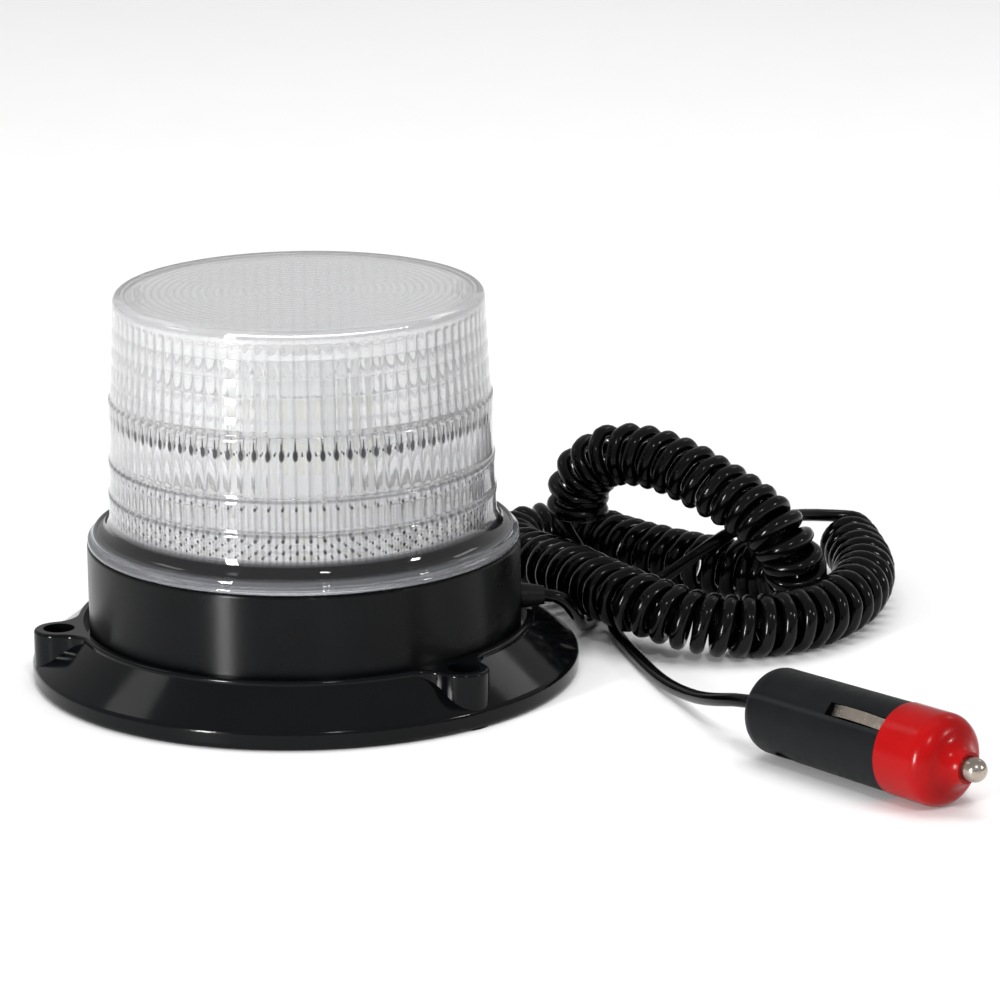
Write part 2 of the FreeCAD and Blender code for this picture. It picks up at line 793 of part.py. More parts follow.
def cords():
    s = size
    node(along(CORD_LEAD, s.cable_radius.value, "cord_lead"), "cord_lead")
    node(along(CORD_COIL, s.coil_radius.value, "cord_coil"), "cord_coil")
    node(along(CORD_TAIL, s.cable_radius.value, "cord_tail"), "cord_tail")
    inside = [(48.9, 0, 17.3), (44.5, 0, 17.3), (37.5, 0, 20.5), (30.5, 0, 22), (26, 0, 22)]
    node(along(inside, 1.5, "input_wires"), "input_wires")


# ---------------------------------------------------------------- plug


def plug_frame(turn=0.0):
    """The plug's own frame: X forwards along its axis from the rear, lying on its side."""
    s = size
    yaw = Rotation(Vector(0, 0, 1), s.plug_yaw.value)
    roll = Rotation(Vector(1, 0, 0), s.plug_roll.value + turn)
    return Placement(Vector(s.plug_x.value, s.plug_y.value, s.plug_z.value), yaw.multiply(roll))


def half_shell(name, turn, sunk):
    """Half of the plug's case, with a screw post and the slot for its side contact."""
    s = size
    inside = s.shell_front_radius - s.shell_wall
    owner = body(name)
    profile = outline(sketch_on(owner, "XY_Plane"), [
        (0, 3.0),
        (0, 5.2),
        (5.0, s.shell_rear_radius, 5.4, -1),
        (s.shell_length, s.shell_front_radius),
        (s.shell_length, inside),
        (14, inside - 0.9),
        (5.5, 6.8),
        (2.6, 3.0),
    ])
    turned(owner, profile, "H_Axis", 180.0)
    if owner.Shape.CenterOfMass.z < 0:
        owner.Tip.Reversed = True
        doc.recompute()
    middle = -(s.shell_front_radius.value - 1)
    slot = outline(sketch_on(owner, "XZ_Plane"), [
        (27, 0.5),
        (s.shell_length + 1, 0.5),
        (s.shell_length + 1, length(0.5) + s.contact_width + 0.6),
        (27, length(0.5) + s.contact_width + 0.6),
    ])
    cutter = owner.newObject("PartDesign::Pocket", f"{name}_slot")
    cutter.Profile = slot
    bind(cutter, Length=14)
    doc.recompute()
    probe = Vector(35, middle, 2)
    if owner.Shape.isInside(probe, 0.01, True):
        cutter.Reversed = True
        doc.recompute()
    assert not owner.Shape.isInside(probe, 0.01, True), "the contact slot is missing"
    post = 4.1 if sunk else 2.6
    padded(owner, ring_of(sketch_on(owner, "XY_Plane"), s.screw_at, 0, post), 8.4)
    bore = ring_of(sketch_on(owner, "XY_Plane"), s.screw_at, 0, 1.45 if sunk else 1.2)
    pocket(owner, bore, 30 if sunk else 13)
    if sunk:
        pocket(owner, ring_of(sketch_on(owner, "XY_Plane", 16.5), s.screw_at, 0, 2.75), 20)
    owner.Placement = plug_frame(turn)
    return owner


def side_contact(label, turn):
    """A bowed spring strip that stands out of the slot."""
    s = size
    owner = body(label)
    bow, thickness = 18.5, 0.5
    base = 9.8
    strip = outline(sketch_on(owner, "XY_Plane"), [
        (28.3, -base),
        (s.shell_length - 0.3, -base, bow, 1),
        (s.shell_length - 0.3, -base + thickness),
        (28.3, -base + thickness, bow - thickness, -1),
    ])
    padded(owner, strip, s.contact_width)
    lift = Placement(Vector(0, 0, 0.8), Rotation())
    owner.Placement = plug_frame(turn).multiply(lift)
    node(owner, label)


def plug():
    s = size
    node(half_shell("plug_shell_upper", 0.0, False), "plug_shell_upper")
    node(half_shell("plug_shell_lower", 180.0, True), "plug_shell_lower")
    shell_screw = screw("plug_screw", 2.5, 1.7, 1.2, 12.5)
    shell_screw.Placement = plug_frame(180.0).multiply(at(s.screw_at, 0, 6.5))
    node(shell_screw, "plug_screw")
    side_contact("side_contact_near", 0.0)
    side_contact("side_contact_far", 180.0)
    frame = plug_frame()

    def spun(label, corners):
        part = revolved(label, corners, plane="XY_Plane", axis="H_Axis", placement=frame)
        return node(part, label)

    front = s.shell_length
    sleeve = s.shell_front_radius - s.shell_wall - 0.5
    spun("plug_bushing", [
        (0, 0),
        (0, 2.9),
        (4.1, 2.9),
        (4.1, 4.6),
        (5.2, 4.6),
        (5.2, 0),
    ])
    live = [(5.2, 3.2, 0), (6.8, 3.2, 0), (8.6, 5.4, 0), (13, 5.9, 0), (15.9, 3.5, 0), (17, 3.5, 0)]
    earth = [(5.2, -3.2, 0), (6.8, -3.2, 0), (8.6, -5.4, 0), (13, -6, 0), (19, -6.3, 0), (27, -6.6, 0)]
    wires = [along(route, 0.8, "plug_wire", frame) for route in (live, earth)]
    node(group("plug_wire_pair", *wires), "plug_wires")
    spun("spring_seat", [(17, 0), (17, 4.4), (18, 4.4), (18, 0)])
    spun("plug_nose", [
        (front - 3.6, sleeve),
        (front + 0.15, sleeve),
        (front + 0.15, s.nose_radius),
        (s.nose_shoulder, s.nose_radius + 0.05),
        (s.nose_shoulder + 4.8, 7.4, 5.0, -1),
        (s.nose_end, 3.75, 5.5, 1),
        (s.nose_end, s.tip_radius + 0.07),
        (58.1, s.tip_radius + 0.07),
        (58.1, 5.0),
        (53.4, sleeve - 1.4, 7.0, 1),
        (front - 3.6, sleeve - 1.4),
    ])
    spun("plug_tip", [
        (56.5, 0),
        (56.5, 4.2),
        (58, 4.2),
        (58, s.tip_radius),
        (s.tip_centre, s.tip_radius),
        (s.tip_centre + s.tip_radius, 0, s.tip_radius, -1),
    ])
    fuse_rear, fuse_front = 26.5, 56.5
    spun("fuse_glass", [
        (fuse_rear + 1.0, 0),
        (fuse_rear + 1.0, s.fuse_radius - 0.3),
        (fuse_front - 1.0, s.fuse_radius - 0.3),
        (fuse_front - 1.0, 0),
    ])
    rear_cap = [
        (fuse_rear, 0),
        (fuse_rear, s.fuse_radius),
        (fuse_rear + 6, s.fuse_radius),
        (fuse_rear + 6, s.fuse_radius - 0.3),
        (fuse_rear + 1, s.fuse_radius - 0.3),
        (fuse_rear + 1, 0),
    ]
    front_cap = [(fuse_rear + fuse_front - along_axis, out) for along_axis, out in reversed(rear_cap)]
    caps = [
        revolved("fuse_cap", corners, plane="XY_Plane", axis="H_Axis", placement=frame)
        for corners in (rear_cap, front_cap)
    ]
    node(group("fuse_cap_pair", *caps), "fuse_caps")
    spring()


def spring():
    """The coil spring behind the fuse: a round wire swept along a helix."""
    s = size
    wire_radius, coil_radius, pitch = 0.4, 2.4, 1.9
    start, end = 18.45, 26.05
    path = Part.makeHelix(pitch, end - start, coil_radius)
    section = Part.Circle(Vector(coil_radius, 0, 0), Vector(0, 1, 0), wire_radius).toShape()
    coil = Part.Wire(path).makePipeShell([Part.Wire([section])], True, True)
    part = doc.addObject("Part::Feature", "plug_spring")
    part.Shape = coil
    forwards = Placement(Vector(start, 0, 0), Rotation(Vector(0, 1, 0), 90))
    part.Placement = plug_frame().multiply(forwards)
    node(part, "plug_spring")


# ---------------------------------------------------------------- build

flange_base()
drum_housing()
housing_screws()
magnet_parts()
lens()
lamp()
driver()
cable_gland()
cords()
plug()
doc.recompute()

for thing in doc.Objects:
    assert "Invalid" not in thing.State and "Error" not in thing.State, f"{thing.Name}: {thing.State}"
os.makedirs("parts", exist_ok=True)
for part in nodes:
    shape = part.Shape
    assert not shape.isNull() and shape.isValid(), f"{part.Label}: bad shape"
    assert shape.Volume > 0, f"{part.Label}: empty shape"
    shape.exportStep(f"parts/{part.Label}.step")
print(f"{len(nodes)} nodes written")
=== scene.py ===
import json
import math

import bpy
from mathutils import Matrix, Vector


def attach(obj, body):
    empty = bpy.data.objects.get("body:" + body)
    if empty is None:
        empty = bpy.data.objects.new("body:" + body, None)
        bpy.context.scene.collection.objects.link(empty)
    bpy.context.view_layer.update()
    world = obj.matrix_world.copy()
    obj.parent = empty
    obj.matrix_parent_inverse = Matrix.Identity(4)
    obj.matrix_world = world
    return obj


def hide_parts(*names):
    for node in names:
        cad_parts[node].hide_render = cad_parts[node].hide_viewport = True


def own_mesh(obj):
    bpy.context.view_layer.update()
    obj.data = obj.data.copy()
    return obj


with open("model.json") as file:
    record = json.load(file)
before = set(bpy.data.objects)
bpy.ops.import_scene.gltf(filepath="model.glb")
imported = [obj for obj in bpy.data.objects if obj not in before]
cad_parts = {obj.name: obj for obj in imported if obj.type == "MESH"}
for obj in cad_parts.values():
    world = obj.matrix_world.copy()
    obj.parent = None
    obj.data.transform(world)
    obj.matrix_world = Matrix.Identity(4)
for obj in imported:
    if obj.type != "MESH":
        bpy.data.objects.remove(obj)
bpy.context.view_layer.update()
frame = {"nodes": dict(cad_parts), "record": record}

MM = 0.001
record = frame["record"]
nodes = frame["nodes"]

# ---------------------------------------------------------------- camera

FOCAL_LENGTH = 172.63
SENSOR_WIDTH = 36.0
NEAR_CLIP = 0.01
# the camera stands in front of the beacon, in metres from the middle of its underside
DISTANCE = 1.2
ELEVATION = math.radians(17.31)
# it looks a little to the right and down, and is tipped a little on its side
HEADING = math.radians(2.437)
DOWNWARD = math.radians(15.36)
ROLL = math.radians(0.61)

lens_data = bpy.data.cameras.new("camera")
lens_data.lens = FOCAL_LENGTH
lens_data.sensor_width = SENSOR_WIDTH
lens_data.clip_start = NEAR_CLIP
camera = bpy.data.objects.new("camera", lens_data)
bpy.context.scene.collection.objects.link(camera)
eye = DISTANCE * Vector((0.0, -math.cos(ELEVATION), math.sin(ELEVATION)))
facing = Matrix.Rotation(-HEADING, 4, "Z") @ Matrix.Rotation(math.pi / 2 - DOWNWARD, 4, "X")
camera.matrix_world = Matrix.Translation(eye) @ facing @ Matrix.Rotation(-ROLL, 4, "Z")
bpy.context.scene.camera = camera


# ---------------------------------------------------------------- studio


def linked(name, data):
    piece = bpy.data.objects.new(name, data)
    bpy.context.scene.collection.objects.link(piece)
    return piece


def mesh_piece(name, points, faces, smooth=True):
    data = bpy.data.meshes.new(name)
    data.from_pydata([tuple(p) for p in points], [], faces)
    data.update()
    if smooth:
        data.polygons.foreach_set("use_smooth", [True] * len(data.polygons))
    return linked(name, data)


def softbox(name, place, target, wide, high, power):
    light = bpy.data.lights.new(name, "AREA")
    light.shape = "RECTANGLE"
    light.size = wide
    light.size_y = high
    light.energy = power
    lamp = linked(name, light)
    lamp.location = place
    aim = Vector(target) - Vector(place)
    lamp.rotation_euler = aim.to_track_quat("-Z", "Y").to_euler()
    return lamp


AIM = (0.04, 0.0, 0.05)
DRUM_AIM = (0.0, 0.0, 0.22)
# name, place, target, width and height in metres, watts
SOFTBOXES = [
    ("key_strip", (-0.9, -1.0, 0.25), DRUM_AIM, 0.15, 0.44, 22),
    ("top_soft", (0.1, 0.2, 1.7), AIM, 1.4, 1.2, 16),
    ("left_window", (-0.88, 0.45, 1.13), AIM, 0.28, 0.3, 0.55),
    ("right_window", (0.88, 0.76, 0.95), AIM, 0.28, 0.3, 0.55),
    ("right_fill", (1.5, -0.6, 0.7), AIM, 0.16, 0.16, 5),
    ("front_fill", (0.35, -1.5, 1.5), AIM, 0.16, 0.16, 7),
]
lamps = {row[0]: softbox(*row) for row in SOFTBOXES}
# the broad overhead light gives no reflection, so that black parts stay black
lamps["top_soft"].visible_glossy = False

WORLD_STRENGTH = 0.52
FLOOR_REACH = 6.0

bpy.context.scene.view_settings.view_transform = "Standard"

world = bpy.data.worlds.new("studio")
world.use_nodes = True
bpy.context.scene.world = world
backdrop = world.node_tree.nodes["Background"]
backdrop.inputs["Color"].default_value = (1.0, 1.0, 1.0, 1.0)
backdrop.inputs["Strength"].default_value = WORLD_STRENGTH

floor = mesh_piece(
    "floor",
    [(-FLOOR_REACH, -FLOOR_REACH, 0), (FLOOR_REACH, -FLOOR_REACH, 0),
     (FLOOR_REACH, FLOOR_REACH, 0), (-FLOOR_REACH, FLOOR_REACH, 0)],
    [(0, 1, 2, 3)],
    smooth=False,
)


# ---------------------------------------------------------------- materials


class Shader:
    """A Principled material with helpers for the procedural detail on it."""

    def __init__(self, name, color, roughness, metallic=0.0):
        self.material = bpy.data.materials.new(name)
        self.material.use_nodes = True
        self.tree = self.material.node_tree
        self.shader = self.tree.nodes["Principled BSDF"]
        self.color = color
        self.set("Base Color", (*color, 1.0))
        self.set("Roughness", roughness)
        self.set("Metallic", metallic)
        self.place = self.add("ShaderNodeTexCoord").outputs["Object"]

    def add(self, kind, **settings):
        node = self.tree.nodes.new(kind)
        for key, value in settings.items():
            setattr(node, key, value)
        return node

    def link(self, source, target):
        self.tree.links.new(source, target)

    def set(self, socket, value):
        self.shader.inputs[socket].default_value = value
        return self

    def math(self, operation, first, second=0.0, third=None):
        node = self.add("ShaderNodeMath", operation=operation)
        for socket, value in zip(node.inputs, (first, second, third)):
            if value is None:
                continue
            if isinstance(value, (int, float)):
                socket.default_value = value
            else:
                self.link(value, socket)
        return node.outputs[0]

    def noise(self, scale, detail=3.0, distortion=0.0, stretch=None):
        node = self.add("ShaderNodeTexNoise")
        node.inputs["Scale"].default_value = scale
        node.inputs["Detail"].default_value = detail
        node.inputs["Distortion"].default_value = distortion
        place = self.place
        if stretch:
            mapping = self.add("ShaderNodeMapping")
            mapping.inputs["Scale"].default_value = stretch
            self.link(place, mapping.inputs["Vector"])
            place = mapping.outputs["Vector"]
        self.link(place, node.inputs["Vector"])
        return node.outputs["Fac"]

    def ranged(self, source, low, high, start=0.3, end=0.7):
        node = self.add("ShaderNodeMapRange")
        for socket, value in zip(("From Min", "From Max", "To Min", "To Max"),
                                 (start, end, low, high)):
            node.inputs[socket].default_value = value
        self.link(source, node.inputs["Value"])
        return node.outputs["Result"]

    def blend(self, factor, first, second):
        node = self.add("ShaderNodeMix", data_type="RGBA")
        self.link(factor, node.inputs["Factor"])
        for socket, value in ((node.inputs[6], first), (node.inputs[7], second)):
            if isinstance(value, tuple):
                socket.default_value = (*value, 1.0)
            else:
                self.link(value, socket)
        return node.outputs[2]

    def paint(self, source):
        self.link(source, self.shader.inputs["Base Color"])
        return self

    def mottle(self, scale, amount):
        """Slight variation of the colour, as in moulded plastic."""
        dark = tuple(c * (1 - amount) for c in self.color)
        light = tuple(min(1.0, c * (1 + amount)) for c in self.color)
        shade = self.blend(self.ranged(self.noise(scale), 0.0, 1.0), dark, light)
        return self.paint(shade)

    def rough(self, scale, low, high, stretch=None):
        source = self.noise(scale, 4.0, 0.0, stretch)
        self.link(self.ranged(source, low, high), self.shader.inputs["Roughness"])
        return self

    def bump(self, source, distance, strength=1.0):
        node = self.add("ShaderNodeBump")
        node.inputs["Strength"].default_value = strength
        node.inputs["Distance"].default_value = distance
        self.link(source, node.inputs["Height"])
        self.link(node.outputs["Normal"], self.shader.inputs["Normal"])
        return self

    def split(self):
        node = self.add("ShaderNodeSeparateXYZ")
        self.link(self.place, node.inputs["Vector"])
        return node.outputs


GLOSS_BLACK = (0.0018, 0.0021, 0.0025)
CORD_BLACK = (0.0012, 0.0012, 0.0012)


def housing_black():
    """Polished black moulding."""
    s = Shader("housing_black", GLOSS_BLACK, 0.12)
    s.mottle(60.0, 0.18).rough(90.0, 0.08, 0.15)
    s.bump(s.noise(420.0, 2.0), 0.00002, 0.35)
    s.set("Specular IOR Level", 0.14)
    return s.material


def drum_black():
    """The drum's upright grain, which draws a highlight out into a tall soft band."""
    s = Shader("drum_black", GLOSS_BLACK, 0.28)
    s.mottle(60.0, 0.18).rough(90.0, 0.26, 0.31)
    s.bump(s.noise(420.0, 2.0), 0.00002, 0.35)
    s.set("Specular IOR Level", 0.14)
    s.set("Anisotropic", 0.95).set("Anisotropic Rotation", 0.25)
    return s.material


def seal_rubber():
    s = Shader("seal_rubber", (0.005, 0.005, 0.005), 0.4)
    s.mottle(150.0, 0.3).rough(300.0, 0.32, 0.5)
    s.set("Specular IOR Level", 0.16)
    s.bump(s.noise(1500.0, 3.0), 0.00004, 0.5)
    return s.material


def steel_zinc():
    s = Shader("steel_zinc", (0.62, 0.62, 0.61), 0.3, 1.0)
    s.mottle(350.0, 0.14).rough(700.0, 0.22, 0.42)
    s.bump(s.noise(2600.0, 3.0), 0.00001, 0.4)
    return s.material


def magnet_ferrite():
    s = Shader("magnet_ferrite", (0.05, 0.05, 0.052), 0.6)
    s.mottle(900.0, 0.5).rough(900.0, 0.5, 0.75)
    s.bump(s.noise(1800.0, 4.0), 0.00006, 0.6)
    return s.material


def aluminium_sink():
    s = Shader("aluminium_sink", (0.6, 0.61, 0.62), 0.36, 1.0)
    s.mottle(40.0, 0.06).rough(400.0, 0.26, 0.4, (1.0, 1.0, 0.06))
    s.bump(s.noise(900.0, 3.0, 0.0, (1.0, 1.0, 0.05)), 0.00001, 0.4)
    return s.material


def circuit(name, mask, trace, scale):
    """Solder mask with raised tracks under it."""
    s = Shader(name, mask, 0.3)
    bricks = s.add("ShaderNodeTexBrick", offset=0.37, squash=0.8)
    bricks.inputs["Scale"].default_value = scale
    bricks.inputs["Mortar Size"].default_value = 0.055
    bricks.inputs["Mortar Smooth"].default_value = 0.3
    bricks.inputs["Color1"].default_value = (*mask, 1.0)
    bricks.inputs["Color2"].default_value = (*(c * 0.96 for c in mask), 1.0)
    bricks.inputs["Mortar"].default_value = (*trace, 1.0)
    s.link(s.place, bricks.inputs["Vector"])
    s.paint(bricks.outputs["Color"]).rough(500.0, 0.22, 0.36)
    s.bump(bricks.outputs["Fac"], 0.00003, 0.4)
    return s.material


def led_yellow():
    s = Shader("led_yellow", (0.66, 0.65, 0.52), 0.25)
    s.mottle(800.0, 0.12).rough(900.0, 0.18, 0.32)
    s.bump(s.noise(2500.0, 2.0), 0.00002, 0.4)
    s.set("Coat Weight", 0.6).set("Coat Roughness", 0.1)
    return s.material


def part_black():
    s = Shader("part_black", (0.02, 0.02, 0.021), 0.4)
    s.mottle(500.0, 0.25).rough(800.0, 0.32, 0.5)
    s.bump(s.noise(2200.0, 3.0), 0.00002, 0.5)
    return s.material


def part_copper():
    """Enamelled wire wound on a ring."""
    s = Shader("part_copper", (0.62, 0.27, 0.1), 0.25, 1.0)
    wave = s.add("ShaderNodeTexWave", wave_type="RINGS", rings_direction="Z")
    wave.inputs["Scale"].default_value = 260.0
    wave.inputs["Distortion"].default_value = 1.5
    s.link(s.place, wave.inputs["Vector"])
    s.paint(s.blend(wave.outputs["Fac"], (0.36, 0.13, 0.05), (0.78, 0.36, 0.14)))
    s.rough(400.0, 0.18, 0.35)
    s.bump(wave.outputs["Fac"], 0.0002, 0.6)
    return s.material


def terminal_green():
    s = Shader("terminal_green", (0.03, 0.26, 0.1), 0.4)
    s.mottle(300.0, 0.15).rough(700.0, 0.34, 0.5)
    s.bump(s.noise(2000.0, 3.0), 0.00002, 0.5)
    return s.material


def cord_black():
    s = Shader("cord_black", CORD_BLACK, 0.12)
    s.mottle(120.0, 0.25).rough(260.0, 0.1, 0.2)
    s.bump(s.noise(900.0, 2.0), 0.00002, 0.4)
    s.set("Specular IOR Level", 0.16)
    return s.material


# the plug's frame: its rear end, and +X towards its nose
PLUG_REAR = Vector((107.6, -75.3, 11.1)) * MM
PLUG_YAW = math.radians(-50.0)
PLUG_ROLL = math.radians(-33.0)
PLUG_TURN = Matrix.Rotation(PLUG_YAW, 4, "Z") @ Matrix.Rotation(PLUG_ROLL, 4, "X")
PLUG = Matrix.Translation(PLUG_REAR) @ PLUG_TURN


def plug_charcoal():
    """Fine-grained moulding; the line where its two halves meet is a groove in the bump and a
    painted highlight in the colour.
    """
    s = Shader("plug_charcoal", (0.006, 0.0065, 0.007), 0.38)
    seam_normal = PLUG_TURN.to_3x3() @ Vector((0, 0, 1))
    dot = s.add("ShaderNodeVectorMath", operation="DOT_PRODUCT")
    dot.inputs[1].default_value = seam_normal
    s.link(s.place, dot.inputs[0])
    offset = s.math("SUBTRACT", dot.outputs["Value"], seam_normal.dot(PLUG_REAR))
    near = s.math("ABSOLUTE", offset)
    seam_highlight = s.ranged(near, 0.0, 1.0, 0.00015, 0.0008)
    grain = s.noise(1900.0, 3.0)
    cloud = s.ranged(s.noise(140.0), 0.0, 1.0)
    shade = s.blend(cloud, (0.0052, 0.0057, 0.0062), (0.0066, 0.0072, 0.0078))
    # the line where the halves meet is painted lighter, as a highlight along its groove
    s.paint(s.blend(seam_highlight, (0.012, 0.013, 0.014), shade))
    s.rough(500.0, 0.34, 0.46)
    s.set("Specular IOR Level", 0.08)
    height = s.math("MULTIPLY_ADD", grain, 0.06, seam_highlight)
    s.bump(height, 0.00022, 0.6)
    return s.material


def nose_red():
    s = Shader("nose_red", (0.275, 0.002, 0.0025), 0.2)
    s.mottle(90.0, 0.1).rough(220.0, 0.15, 0.26)
    s.bump(s.noise(500.0, 2.0), 0.00003, 0.3)
    s.set("Subsurface Weight", 0.06).set("Subsurface Scale", 0.002)
    s.set("Specular IOR Level", 0.13)
    return s.material


def contact_nickel():
    s = Shader("contact_nickel", (0.4, 0.35, 0.3), 0.22, 1.0)
    s.mottle(260.0, 0.08).rough(900.0, 0.14, 0.3, (1.0, 1.0, 0.2))
    s.bump(s.noise(2400.0, 3.0), 0.00001, 0.4)
    return s.material


def fuse_glass():
    s = Shader("fuse_glass", (0.93, 0.96, 0.95), 0.03)
    s.mottle(50.0, 0.02).rough(300.0, 0.02, 0.05)
    s.set("Transmission Weight", 1.0).set("IOR", 1.5)
    return s.material


# the lens's flutes, the pitch of the painted shade rings in its top, and the heights of its
# raised rings in mm
FLUTES = 90
TOP_RING_PITCH = 1.9
RING_TOP = 70.6
RING_MIDDLE = 55.4
RING_LOW = 47.1


def lens_clear():
    """Clear moulded plastic, with painted shade in its colour: dark dashes where its small
    prisms turn the light away, and grey lines, stripes and rings.
    """
    s = Shader("lens_clear", (0.97, 0.975, 0.98), 0.03)
    x, y, z = s.split()
    angle = s.math("ARCTAN2", y, x)
    phase = s.math("MULTIPLY", angle, FLUTES / math.tau)
    drift = s.noise(45.0, 2.0)
    height = s.math("DIVIDE", z, MM)

    def away(value, middle):
        return s.math("ABSOLUTE", s.math("SUBTRACT", value, middle))

    def prism_shade_row(middle, half_height, half_width, shift, wander):
        """A row of painted shade dashes, one in each flute, where a prism turns the light away.
        """
        within = s.math("FRACT", s.math("ADD", phase, shift))
        across = s.math("DIVIDE", away(within, 0.5), half_width)
        centre = s.math("MULTIPLY_ADD", drift, wander, middle - wander / 2)
        along = s.math("DIVIDE", away(height, centre), half_height)
        spread = s.math("ADD", s.math("POWER", along, 2.0), s.math("POWER", across, 2.0))
        return s.ranged(spread, 1.0, 0.0, 0.5, 1.2)

    # middle height, half height, half width, shift in flutes, wander in height
    rows = [
        (RING_TOP - 3.9, 1.5, 0.21, 0.5, 1.0),
        (RING_TOP - 2.0, 1.6, 0.06, 0.5, 0.6),
        (RING_TOP - 3.6, 0.45, 0.08, 0.0, 1.0),
        (RING_MIDDLE - 1.7, 0.5, 0.11, 0.5, 0.6),
        (RING_LOW - 1.1, 0.55, 0.14, 0.5, 0.5),
        (RING_LOW - 2.6, 0.4, 0.1, 0.0, 0.5),
        (RING_LOW - 4.1, 0.5, 0.13, 0.5, 0.5),
        (RING_LOW - 5.4, 0.4, 0.1, 0.0, 0.5),
    ]
    dark = None
    for row in rows:
        mark = prism_shade_row(*row)
        dark = mark if dark is None else s.math("MAXIMUM", dark, mark)
    # painted shade: greyer towards the bottom, from 62 mm down to 44 mm, with a random tone in
    # the grey
    cloud = s.ranged(s.noise(20.0), 0.0, 1.0)
    lower_shade_tone = s.blend(cloud, (0.885, 0.887, 0.893), (0.91, 0.912, 0.916))
    clear = s.blend(s.ranged(height, 1.0, 0.0, 44.0, 62.0), lower_shade_tone, (0.97, 0.972, 0.985))
    # painted shade: a grey line where two flutes meet
    flute_edge_shade = s.ranged(away(s.math("FRACT", phase), 0.5), 0.0, 1.0, 0.34, 0.5)
    flute_edge_shade = s.math("MULTIPLY", flute_edge_shade, s.ranged(height, 0.5, 0.4, 60.0, 76.0))
    flute_edge_shade = s.math("MULTIPLY", flute_edge_shade, s.ranged(height, 1.0, 0.0, 91.5, 93.0))
    body = s.blend(flute_edge_shade, clear, (0.45, 0.455, 0.465))
    # painted shade: the lower tiers get two grey stripes to a flute
    halves = s.math("FRACT", s.math("MULTIPLY", phase, 2.0))
    bar_shade = s.ranged(away(halves, 0.5), 0.0, 1.0, 0.26, 0.48)
    bar_shade = s.math("MULTIPLY", bar_shade, s.ranged(height, 0.75, 0.0, 53.5, 56.5))
    body = s.blend(bar_shade, body, (0.5, 0.495, 0.53))
    reach = s.math("SQRT", s.math("ADD", s.math("POWER", x, 2.0), s.math("POWER", y, 2.0)))
    # painted shade: faint dark rings in the top, standing in for its fine grooves
    top_ring_shade = away(s.math("FRACT", s.math("DIVIDE", reach, TOP_RING_PITCH * MM)), 0.5)
    top_ring_shade = s.ranged(top_ring_shade, 0.0, 1.0, 0.2, 0.5)
    top_ring_shade = s.math("MULTIPLY", top_ring_shade, s.ranged(height, 0.0, 1.0, 94.0, 94.8))
    body = s.blend(top_ring_shade, body, (0.79, 0.793, 0.805))
    # painted shade: a dark line just above each of the two lower rings
    for ring in (RING_MIDDLE, RING_LOW):
        off = away(height, ring + 0.1)
        body = s.blend(s.ranged(off, 0.7, 0.0, 0.15, 0.55), body, (0.3, 0.305, 0.31))
    # the painted shade dashes go over everything else
    body = s.blend(dark, body, (0.012, 0.012, 0.014))
    # painted shade and highlight on the clear foot: dark inside 50.2 mm, a pale painted
    # highlight on its rim beyond 51.6 mm
    rim_highlight_mask = s.ranged(reach, 0.0, 1.0, 50.2 * MM, 51.6 * MM)
    lip = s.blend(rim_highlight_mask, (0.032, 0.033, 0.037), (0.42, 0.43, 0.465))
    foot = s.ranged(height, 1.0, 0.0, 39.6, 41.2)
    s.paint(s.blend(foot, body, lip))
    s.rough(160.0, 0.02, 0.05)
    s.bump(s.noise(240.0, 2.0), 0.00003, 0.25)
    s.set("Transmission Weight", 0.84).set("IOR", 1.49)
    return s.material


MATERIALS = {
    "housing_black": housing_black(),
    "lens_clear": lens_clear(),
    "seal_rubber": seal_rubber(),
    "steel_zinc": steel_zinc(),
    "magnet_ferrite": magnet_ferrite(),
    "aluminium_sink": aluminium_sink(),
    "board_white": circuit("board_white", (0.76, 0.765, 0.77), (0.66, 0.665, 0.67), 90.0),
    "board_green": circuit("board_green", (0.012, 0.13, 0.045), (0.03, 0.24, 0.08), 120.0),
    "led_yellow": led_yellow(),
    "part_black": part_black(),
    "part_copper": part_copper(),
    "terminal_green": terminal_green(),
    "cord_black": cord_black(),
    "plug_charcoal": plug_charcoal(),
    "nose_red": nose_red(),
    "contact_nickel": contact_nickel(),
    "fuse_glass": fuse_glass(),
}

for row in record["subparts"]:
    shown = nodes[row["node"]]
    if not shown.material_slots:
        shown.data.materials.append(None)
    for holder in shown.material_slots:
        holder.link = "OBJECT"
        holder.material = MATERIALS[row["material_slot"]]
nodes["drum_housing"].material_slots[0].material = drum_black()


def finished(piece, slot_name, rides_on):
    piece.data.materials.append(MATERIALS[slot_name])
    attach(piece, rides_on)
    return piece


def floor_material():
    s = Shader("floor_pale", (0.93, 0.93, 0.93), 0.6)
    s.mottle(3.0, 0.01).rough(40.0, 0.55, 0.65)
    return s.material


floor.data.materials.append(floor_material())


# ---------------------------------------------------------------- cord

